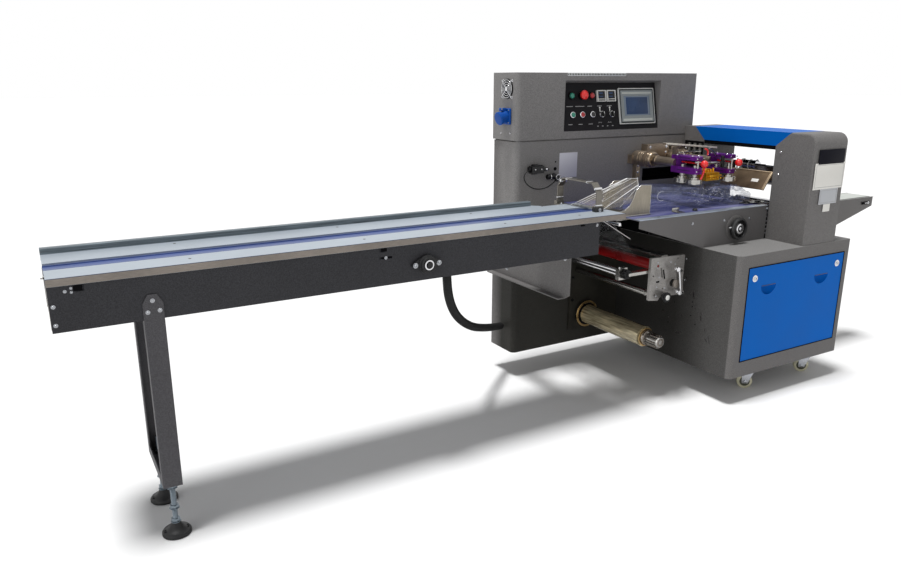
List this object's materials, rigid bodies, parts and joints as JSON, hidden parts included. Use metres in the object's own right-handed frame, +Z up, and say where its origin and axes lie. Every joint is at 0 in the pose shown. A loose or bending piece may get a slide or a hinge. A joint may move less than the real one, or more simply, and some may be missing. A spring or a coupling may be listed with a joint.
{
  "type": "horizontal flow wrapper",
  "caption": "Horizontal flow-wrapping machine: long infeed bed on a leg frame, control cabinet, film reel, bag former, sealing wheels, end-seal portal and discharge conveyor.",
  "frame": {"origin": "middle of the machine's footprint on the floor", "axes": "+X along the product flow, from infeed to discharge; +Y from the operator's side to the rear; +Z up"},
  "size_m": [3.715, 0.895, 1.364],
  "materials": {
    "grey_paint": "dark grey textured powder coat",
    "blue_paint": "smooth blue paint under clear protective film",
    "stainless": "brushed stainless sheet",
    "steel": "machined bright steel",
    "zinc": "bright zinc plate",
    "chrome_ring": "polished chrome",
    "aluminium": "milled aluminium",
    "purple_anodised": "purple anodised aluminium",
    "brass": "machined brass",
    "black_iron": "black painted casting",
    "black_plastic": "fine matt black plastic",
    "light_plastic": "light grey moulded plastic",
    "blue_plastic": "moulded blue plastic",
    "red_plastic": "moulded red plastic",
    "blue_strip": "dark blue wear strip",
    "black_rubber": "black rubber",
    "red_rubber": "red roller rubber",
    "castor_tread": "cream polyurethane tread",
    "clear_film": "clear wrapping film",
    "film_reel": "wound clear film, straw coloured in bulk",
    "belt": "dark conveyor belt"
  },
  "bodies": {
    "frame": {"bag_former": "stainless", "ball_levers": "red_plastic", "cable_hose": "black_rubber", "control_head": "grey_paint", "control_panel": "black_plastic", "cross_bars": "steel", "deck": "grey_paint", "discharge_belt": "belt", "discharge_frame": "grey_paint", "end_jaws": "steel", "eye_sensor": "black_plastic", "fan_guard": "chrome_ring", "film_mount_plate": "steel", "film_web": "clear_film", "front_panel": "blue_paint", "guide_arch": "stainless", "heater_block": "brass", "infeed_bearing": "black_iron", "infeed_bed": "stainless", "infeed_bracket": "grey_paint", "infeed_skirt": "grey_paint", "jaw_guard": "stainless", "leg_frame": "grey_paint", "levelling_feet": "black_rubber", "lower_cabinet": "grey_paint", "mains_inlet": "blue_plastic", "plate_knob": "black_plastic", "portal_cover": "blue_paint", "portal_frame": "grey_paint", "push_buttons": "chrome_ring", "pusher_slot": "blue_strip", "roller_end_plate": "aluminium", "seal_arm": "zinc", "seal_blocks": "purple_anodised", "sensor_lead": "black_rubber", "tall_cabinet": "grey_paint", "temperature_controllers": "black_plastic", "touch_screen": "light_plastic"},
    "handwheel": {"handwheel": "black_plastic"},
    "castor_swivel_front_left": {"castor_fork_front_left": "zinc"},
    "castor_roll_front_left": {"castor_wheel_front_left": "castor_tread"},
    "castor_swivel_front_right": {"castor_fork_front_right": "zinc"},
    "castor_roll_front_right": {"castor_wheel_front_right": "castor_tread"},
    "castor_swivel_rear_left": {"castor_fork_rear_left": "zinc"},
    "castor_roll_rear_left": {"castor_wheel_rear_left": "castor_tread"},
    "castor_swivel_rear_right": {"castor_fork_rear_right": "zinc"},
    "castor_roll_rear_right": {"castor_wheel_rear_right": "castor_tread"},
    "film_reel": {"film_shaft": "steel", "film_roll": "film_reel"},
    "red_roller": {"red_roller": "red_rubber"},
    "steel_roller": {"steel_roller": "steel"},
    "seal_wheel_near_1": {"seal_wheel_near_1": "steel"},
    "seal_wheel_far_1": {"seal_wheel_far_1": "steel"},
    "seal_wheel_near_2": {"seal_wheel_near_2": "steel"},
    "seal_wheel_far_2": {"seal_wheel_far_2": "steel"},
    "emergency_stop": {"emergency_stop": "red_plastic"},
    "selector_left": {"selector_left": "black_plastic"},
    "selector_right": {"selector_right": "black_plastic"}
  },
  "joints": [
    {"name": "handwheel_turn", "type": "hinge", "parent": "frame", "child": "handwheel", "pos_m": [0.7695, -0.262, 0.718], "axis": [0, -1, 0], "continuous": true},
    {"name": "swivel_front_left", "type": "hinge", "parent": "frame", "child": "castor_swivel_front_left", "pos_m": [0.8355, -0.357, 0.1], "axis": [0, 0, 1], "continuous": true},
    {"name": "roll_front_left", "type": "hinge", "parent": "castor_swivel_front_left", "child": "castor_roll_front_left", "pos_m": [0.82018, -0.34414, 0.033], "axis": [0.6428, 0.766, 0], "continuous": true},
    {"name": "swivel_front_right", "type": "hinge", "parent": "frame", "child": "castor_swivel_front_right", "pos_m": [1.2315, -0.357, 0.1], "axis": [0, 0, 1], "continuous": true},
    {"name": "roll_front_right", "type": "hinge", "parent": "castor_swivel_front_right", "child": "castor_roll_front_right", "pos_m": [1.21618, -0.34414, 0.033], "axis": [0.6428, 0.766, 0], "continuous": true},
    {"name": "swivel_rear_left", "type": "hinge", "parent": "frame", "child": "castor_swivel_rear_left", "pos_m": [0.8355, 0.374, 0.1], "axis": [0, 0, 1], "continuous": true},
    {"name": "roll_rear_left", "type": "hinge", "parent": "castor_swivel_rear_left", "child": "castor_roll_rear_left", "pos_m": [0.82018, 0.38686, 0.033], "axis": [0.6428, 0.766, 0], "continuous": true},
    {"name": "swivel_rear_right", "type": "hinge", "parent": "frame", "child": "castor_swivel_rear_right", "pos_m": [1.2315, 0.374, 0.1], "axis": [0, 0, 1], "continuous": true},
    {"name": "roll_rear_right", "type": "hinge", "parent": "castor_swivel_rear_right", "child": "castor_roll_rear_right", "pos_m": [1.21618, 0.38686, 0.033], "axis": [0.6428, 0.766, 0], "continuous": true},
    {"name": "film_reel_turn", "type": "hinge", "parent": "frame", "child": "film_reel", "pos_m": [0.3845, 0.038, 0.258], "axis": [0, 1, 0], "continuous": true},
    {"name": "red_roller_turn", "type": "hinge", "parent": "frame", "child": "red_roller", "pos_m": [0.3325, 0.008, 0.6], "axis": [0, 1, 0], "continuous": true},
    {"name": "steel_roller_turn", "type": "hinge", "parent": "frame", "child": "steel_roller", "pos_m": [0.3245, 0.008, 0.478], "axis": [0, 1, 0], "continuous": true},
    {"name": "seal_wheel_near_1_turn", "type": "hinge", "parent": "frame", "child": "seal_wheel_near_1", "pos_m": [0.6375, -0.121, 0.94], "axis": [0, 0, 1], "continuous": true},
    {"name": "seal_wheel_far_1_turn", "type": "hinge", "parent": "frame", "child": "seal_wheel_far_1", "pos_m": [0.6375, -0.051, 0.94], "axis": [0, 0, 1], "continuous": true},
    {"name": "seal_wheel_near_2_turn", "type": "hinge", "parent": "frame", "child": "seal_wheel_near_2", "pos_m": [0.8485, -0.121, 0.94], "axis": [0, 0, 1], "continuous": true},
    {"name": "seal_wheel_far_2_turn", "type": "hinge", "parent": "frame", "child": "seal_wheel_far_2", "pos_m": [0.8485, -0.051, 0.94], "axis": [0, 0, 1], "continuous": true},
    {"name": "emergency_press", "type": "slide", "parent": "frame", "child": "emergency_stop", "axis": [0, 0.9811, -0.1934], "range_m": [0, 0.005]},
    {"name": "selector_left_turn", "type": "hinge", "parent": "frame", "child": "selector_left", "pos_m": [0.4495, 0.27854, 1.18368], "axis": [0, -0.9811, 0.1934], "range_deg": [-45, 45]},
    {"name": "selector_right_turn", "type": "hinge", "parent": "frame", "child": "selector_right", "pos_m": [0.5075, 0.27854, 1.18368], "axis": [0, -0.9811, 0.1934], "range_deg": [-45, 45]}
  ],
  "couplings": [
    {"joint": "seal_wheel_far_1_turn", "follows": "seal_wheel_near_1_turn", "ratio": -1},
    {"joint": "seal_wheel_far_2_turn", "follows": "seal_wheel_near_2_turn", "ratio": -1}
  ]
}
